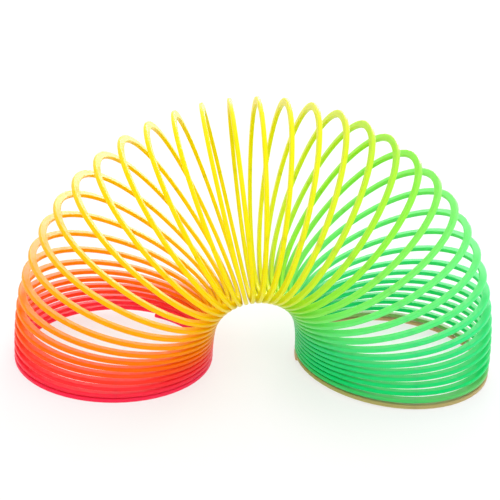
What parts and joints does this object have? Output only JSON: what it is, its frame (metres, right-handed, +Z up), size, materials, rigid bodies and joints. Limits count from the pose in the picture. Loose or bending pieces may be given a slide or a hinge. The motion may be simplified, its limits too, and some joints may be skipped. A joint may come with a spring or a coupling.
{
  "type": "spring coil toy",
  "caption": "Long springy plastic coil in graded rainbow colours, bent into an arch and standing on both ends; each turn bends against the next.",
  "frame": {"origin": "centre of the footprint, on the surface the coil stands on", "axes": "+X along the arch from the first foot to the last, +Z up, each turn leans about Y, and the last foot stands a little towards -Y, the front"},
  "size_m": [0.1816, 0.082, 0.1018],
  "materials": {
    "turn_01": "satin gloss, slightly translucent moulded plastic",
    "turn_02": "satin gloss, slightly translucent moulded plastic",
    "turn_03": "satin gloss, slightly translucent moulded plastic",
    "turn_04": "satin gloss, slightly translucent moulded plastic",
    "turn_05": "satin gloss, slightly translucent moulded plastic",
    "turn_06": "satin gloss, slightly translucent moulded plastic",
    "turn_07": "satin gloss, slightly translucent moulded plastic",
    "turn_08": "satin gloss, slightly translucent moulded plastic",
    "turn_09": "satin gloss, slightly translucent moulded plastic",
    "turn_10": "satin gloss, slightly translucent moulded plastic",
    "turn_11": "satin gloss, slightly translucent moulded plastic",
    "turn_12": "satin gloss, slightly translucent moulded plastic",
    "turn_13": "satin gloss, slightly translucent moulded plastic",
    "turn_14": "satin gloss, slightly translucent moulded plastic",
    "turn_15": "satin gloss, slightly translucent moulded plastic",
    "turn_16": "satin gloss, slightly translucent moulded plastic",
    "turn_17": "satin gloss, slightly translucent moulded plastic",
    "turn_18": "satin gloss, slightly translucent moulded plastic",
    "turn_19": "satin gloss, slightly translucent moulded plastic",
    "turn_20": "satin gloss, slightly translucent moulded plastic",
    "turn_21": "satin gloss, slightly translucent moulded plastic",
    "turn_22": "satin gloss, slightly translucent moulded plastic",
    "turn_23": "satin gloss, slightly translucent moulded plastic",
    "turn_24": "satin gloss, slightly translucent moulded plastic",
    "turn_25": "satin gloss, slightly translucent moulded plastic",
    "turn_26": "satin gloss, slightly translucent moulded plastic",
    "turn_27": "satin gloss, slightly translucent moulded plastic",
    "turn_28": "satin gloss, slightly translucent moulded plastic",
    "turn_29": "satin gloss, slightly translucent moulded plastic",
    "turn_30": "satin gloss, slightly translucent moulded plastic",
    "turn_31": "satin gloss, slightly translucent moulded plastic",
    "turn_32": "satin gloss, slightly translucent moulded plastic",
    "turn_33": "satin gloss, slightly translucent moulded plastic",
    "turn_34": "satin gloss, slightly translucent moulded plastic",
    "turn_35": "satin gloss, slightly translucent moulded plastic",
    "turn_36": "satin gloss, slightly translucent moulded plastic",
    "turn_37": "satin gloss, slightly translucent moulded plastic",
    "turn_38": "satin gloss, slightly translucent moulded plastic",
    "turn_39": "satin gloss, slightly translucent moulded plastic",
    "turn_40": "satin gloss, slightly translucent moulded plastic"
  },
  "bodies": {
    "turn_01": {"turn_01": "turn_01"},
    "turn_02": {"turn_02": "turn_02"},
    "turn_03": {"turn_03": "turn_03"},
    "turn_04": {"turn_04": "turn_04"},
    "turn_05": {"turn_05": "turn_05"},
    "turn_06": {"turn_06": "turn_06"},
    "turn_07": {"turn_07": "turn_07"},
    "turn_08": {"turn_08": "turn_08"},
    "turn_09": {"turn_09": "turn_09"},
    "turn_10": {"turn_10": "turn_10"},
    "turn_11": {"turn_11": "turn_11"},
    "turn_12": {"turn_12": "turn_12"},
    "turn_13": {"turn_13": "turn_13"},
    "turn_14": {"turn_14": "turn_14"},
    "turn_15": {"turn_15": "turn_15"},
    "turn_16": {"turn_16": "turn_16"},
    "turn_17": {"turn_17": "turn_17"},
    "turn_18": {"turn_18": "turn_18"},
    "turn_19": {"turn_19": "turn_19"},
    "turn_20": {"turn_20": "turn_20"},
    "turn_21": {"turn_21": "turn_21"},
    "turn_22": {"turn_22": "turn_22"},
    "turn_23": {"turn_23": "turn_23"},
    "turn_24": {"turn_24": "turn_24"},
    "turn_25": {"turn_25": "turn_25"},
    "turn_26": {"turn_26": "turn_26"},
    "turn_27": {"turn_27": "turn_27"},
    "turn_28": {"turn_28": "turn_28"},
    "turn_29": {"turn_29": "turn_29"},
    "turn_30": {"turn_30": "turn_30"},
    "turn_31": {"turn_31": "turn_31"},
    "turn_32": {"turn_32": "turn_32"},
    "turn_33": {"turn_33": "turn_33"},
    "turn_34": {"turn_34": "turn_34"},
    "turn_35": {"turn_35": "turn_35"},
    "turn_36": {"turn_36": "turn_36"},
    "turn_37": {"turn_37": "turn_37"},
    "turn_38": {"turn_38": "turn_38"},
    "turn_39": {"turn_39": "turn_39"},
    "turn_40": {"turn_40": "turn_40"}
  },
  "joints": [
    {"name": "bend_01", "type": "hinge", "parent": "turn_01", "child": "turn_02", "pos_m": [-0.01716, 0.0035, 0.00251], "axis": [0, 1, 0], "range_deg": [-0.09, 7.49], "stiffness_Nm_per_rad": 0.012, "springref_deg": 0.45},
    {"name": "bend_02", "type": "hinge", "parent": "turn_02", "child": "turn_03", "pos_m": [-0.01714, 0.00346, 0.0043], "axis": [0, 1, 0], "range_deg": [-0.92, 6.96], "stiffness_Nm_per_rad": 0.012, "springref_deg": -0.38},
    {"name": "bend_03", "type": "hinge", "parent": "turn_03", "child": "turn_04", "pos_m": [-0.01708, 0.00342, 0.00614], "axis": [0, 1, 0], "range_deg": [-1.05, 6.9], "stiffness_Nm_per_rad": 0.012, "springref_deg": -1.16},
    {"name": "bend_04", "type": "hinge", "parent": "turn_04", "child": "turn_05", "pos_m": [-0.017, 0.00337, 0.00797], "axis": [0, 1, 0], "range_deg": [-1.14, 6.78], "stiffness_Nm_per_rad": 0.012, "springref_deg": -1.91},
    {"name": "bend_05", "type": "hinge", "parent": "turn_05", "child": "turn_06", "pos_m": [-0.01688, 0.00332, 0.00973], "axis": [0, 1, 0], "range_deg": [-1.32, 6.52], "stiffness_Nm_per_rad": 0.012, "springref_deg": -2.67},
    {"name": "bend_06", "type": "hinge", "parent": "turn_06", "child": "turn_07", "pos_m": [-0.01672, 0.00326, 0.01147], "axis": [0, 1, 0], "range_deg": [-1.68, 6.03], "stiffness_Nm_per_rad": 0.012, "springref_deg": -3.42},
    {"name": "bend_07", "type": "hinge", "parent": "turn_07", "child": "turn_08", "pos_m": [-0.01649, 0.00317, 0.01322], "axis": [0, 1, 0], "range_deg": [-2.34, 5.18], "stiffness_Nm_per_rad": 0.012, "springref_deg": -4.13},
    {"name": "bend_08", "type": "hinge", "parent": "turn_08", "child": "turn_09", "pos_m": [-0.01618, 0.00303, 0.01498], "axis": [0, 1, 0], "range_deg": [-3.39, 3.95], "stiffness_Nm_per_rad": 0.012, "springref_deg": -4.77},
    {"name": "bend_09", "type": "hinge", "parent": "turn_09", "child": "turn_10", "pos_m": [-0.01573, 0.00285, 0.01674], "axis": [0, 1, 0], "range_deg": [-4.72, 2.62], "stiffness_Nm_per_rad": 0.012, "springref_deg": -5.32},
    {"name": "bend_10", "type": "hinge", "parent": "turn_10", "child": "turn_11", "pos_m": [-0.0151, 0.00262, 0.01849], "axis": [0, 1, 0], "range_deg": [-5.95, 1.59], "stiffness_Nm_per_rad": 0.012, "springref_deg": -5.76},
    {"name": "bend_11", "type": "hinge", "parent": "turn_11", "child": "turn_12", "pos_m": [-0.01428, 0.00236, 0.02019], "axis": [0, 1, 0], "range_deg": [-6.74, 1.03], "stiffness_Nm_per_rad": 0.012, "springref_deg": -6.1},
    {"name": "bend_12", "type": "hinge", "parent": "turn_12", "child": "turn_13", "pos_m": [-0.01324, 0.00208, 0.02178], "axis": [0, 1, 0], "range_deg": [-7.09, 0.85], "stiffness_Nm_per_rad": 0.012, "springref_deg": -6.33},
    {"name": "bend_13", "type": "hinge", "parent": "turn_13", "child": "turn_14", "pos_m": [-0.01201, 0.0018, 0.02325], "axis": [0, 1, 0], "range_deg": [-7.07, 0.88], "stiffness_Nm_per_rad": 0.012, "springref_deg": -6.49},
    {"name": "bend_14", "type": "hinge", "parent": "turn_14", "child": "turn_15", "pos_m": [-0.01061, 0.00153, 0.02455], "axis": [0, 1, 0], "range_deg": [-6.94, 0.99], "stiffness_Nm_per_rad": 0.012, "springref_deg": -6.58},
    {"name": "bend_15", "type": "hinge", "parent": "turn_15", "child": "turn_16", "pos_m": [-0.00905, 0.00126, 0.02567], "axis": [0, 1, 0], "range_deg": [-6.81, 1.12], "stiffness_Nm_per_rad": 0.012, "springref_deg": -6.63},
    {"name": "bend_16", "type": "hinge", "parent": "turn_16", "child": "turn_17", "pos_m": [-0.00737, 0.00099, 0.0266], "axis": [0, 1, 0], "range_deg": [-6.7, 1.25], "stiffness_Nm_per_rad": 0.012, "springref_deg": -6.64},
    {"name": "bend_17", "type": "hinge", "parent": "turn_17", "child": "turn_18", "pos_m": [-0.0056, 0.00073, 0.02732], "axis": [0, 1, 0], "range_deg": [-6.61, 1.35], "stiffness_Nm_per_rad": 0.012, "springref_deg": -6.64},
    {"name": "bend_18", "type": "hinge", "parent": "turn_18", "child": "turn_19", "pos_m": [-0.00375, 0.00047, 0.02783], "axis": [0, 1, 0], "range_deg": [-6.55, 1.42], "stiffness_Nm_per_rad": 0.012, "springref_deg": -6.64},
    {"name": "bend_19", "type": "hinge", "parent": "turn_19", "child": "turn_20", "pos_m": [-0.00185, 0.00022, 0.02813], "axis": [0, 1, 0], "range_deg": [-6.53, 1.46], "stiffness_Nm_per_rad": 0.012, "springref_deg": -6.64},
    {"name": "bend_20", "type": "hinge", "parent": "turn_20", "child": "turn_21", "pos_m": [0.00007, -0.00003, 0.02821], "axis": [0, 1, 0], "range_deg": [-6.53, 1.47], "stiffness_Nm_per_rad": 0.012, "springref_deg": -6.64},
    {"name": "bend_21", "type": "hinge", "parent": "turn_21", "child": "turn_22", "pos_m": [0.00198, -0.00029, 0.02807], "axis": [0, 1, 0], "range_deg": [-6.53, 1.45], "stiffness_Nm_per_rad": 0.012, "springref_deg": -6.64},
    {"name": "bend_22", "type": "hinge", "parent": "turn_22", "child": "turn_23", "pos_m": [0.00387, -0.00054, 0.02772], "axis": [0, 1, 0], "range_deg": [-6.57, 1.39], "stiffness_Nm_per_rad": 0.012, "springref_deg": -6.66},
    {"name": "bend_23", "type": "hinge", "parent": "turn_23", "child": "turn_24", "pos_m": [0.0057, -0.0008, 0.02714], "axis": [0, 1, 0], "range_deg": [-6.64, 1.31], "stiffness_Nm_per_rad": 0.012, "springref_deg": -6.67},
    {"name": "bend_24", "type": "hinge", "parent": "turn_24", "child": "turn_25", "pos_m": [0.00745, -0.00106, 0.02636], "axis": [0, 1, 0], "range_deg": [-6.73, 1.21], "stiffness_Nm_per_rad": 0.012, "springref_deg": -6.67},
    {"name": "bend_25", "type": "hinge", "parent": "turn_25", "child": "turn_26", "pos_m": [0.0091, -0.00133, 0.02538], "axis": [0, 1, 0], "range_deg": [-6.85, 1.09], "stiffness_Nm_per_rad": 0.012, "springref_deg": -6.65},
    {"name": "bend_26", "type": "hinge", "parent": "turn_26", "child": "turn_27", "pos_m": [0.01061, -0.0016, 0.02421], "axis": [0, 1, 0], "range_deg": [-6.96, 0.98], "stiffness_Nm_per_rad": 0.012, "springref_deg": -6.6},
    {"name": "bend_27", "type": "hinge", "parent": "turn_27", "child": "turn_28", "pos_m": [0.01197, -0.00188, 0.02287], "axis": [0, 1, 0], "range_deg": [-7.01, 0.94], "stiffness_Nm_per_rad": 0.012, "springref_deg": -6.49},
    {"name": "bend_28", "type": "hinge", "parent": "turn_28", "child": "turn_29", "pos_m": [0.01315, -0.00215, 0.02137], "axis": [0, 1, 0], "range_deg": [-6.75, 1.07], "stiffness_Nm_per_rad": 0.012, "springref_deg": -6.32},
    {"name": "bend_29", "type": "hinge", "parent": "turn_29", "child": "turn_30", "pos_m": [0.01413, -0.00241, 0.01976], "axis": [0, 1, 0], "range_deg": [-6.11, 1.51], "stiffness_Nm_per_rad": 0.012, "springref_deg": -6.06},
    {"name": "bend_30", "type": "hinge", "parent": "turn_30", "child": "turn_31", "pos_m": [0.01491, -0.00265, 0.01807], "axis": [0, 1, 0], "range_deg": [-5.07, 2.37], "stiffness_Nm_per_rad": 0.012, "springref_deg": -5.7},
    {"name": "bend_31", "type": "hinge", "parent": "turn_31", "child": "turn_32", "pos_m": [0.01551, -0.00285, 0.01634], "axis": [0, 1, 0], "range_deg": [-3.89, 3.52], "stiffness_Nm_per_rad": 0.012, "springref_deg": -5.24},
    {"name": "bend_32", "type": "hinge", "parent": "turn_32", "child": "turn_33", "pos_m": [0.01597, -0.003, 0.01461], "axis": [0, 1, 0], "range_deg": [-2.89, 4.65], "stiffness_Nm_per_rad": 0.012, "springref_deg": -4.69},
    {"name": "bend_33", "type": "hinge", "parent": "turn_33", "child": "turn_34", "pos_m": [0.01632, -0.00311, 0.01288], "axis": [0, 1, 0], "range_deg": [-2.22, 5.48], "stiffness_Nm_per_rad": 0.012, "springref_deg": -4.07},
    {"name": "bend_34", "type": "hinge", "parent": "turn_34", "child": "turn_35", "pos_m": [0.01659, -0.0032, 0.01115], "axis": [0, 1, 0], "range_deg": [-1.84, 5.99], "stiffness_Nm_per_rad": 0.012, "springref_deg": -3.39},
    {"name": "bend_35", "type": "hinge", "parent": "turn_35", "child": "turn_36", "pos_m": [0.0168, -0.00327, 0.00943], "axis": [0, 1, 0], "range_deg": [-1.65, 6.27], "stiffness_Nm_per_rad": 0.012, "springref_deg": -2.68},
    {"name": "bend_36", "type": "hinge", "parent": "turn_36", "child": "turn_37", "pos_m": [0.01695, -0.00333, 0.0077], "axis": [0, 1, 0], "range_deg": [-1.55, 6.41], "stiffness_Nm_per_rad": 0.012, "springref_deg": -1.93},
    {"name": "bend_37", "type": "hinge", "parent": "turn_37", "child": "turn_38", "pos_m": [0.01706, -0.00339, 0.00597], "axis": [0, 1, 0], "range_deg": [-1.5, 6.48], "stiffness_Nm_per_rad": 0.012, "springref_deg": -1.14},
    {"name": "bend_38", "type": "hinge", "parent": "turn_38", "child": "turn_39", "pos_m": [0.01713, -0.00345, 0.00424], "axis": [0, 1, 0], "range_deg": [-1.18, 6.52], "stiffness_Nm_per_rad": 0.012, "springref_deg": -0.33},
    {"name": "bend_39", "type": "hinge", "parent": "turn_39", "child": "turn_40", "pos_m": [0.01716, -0.0035, 0.00251], "axis": [0, 1, 0], "range_deg": [-0.04, 7.51], "stiffness_Nm_per_rad": 0.012, "springref_deg": 0.52}
  ]
}
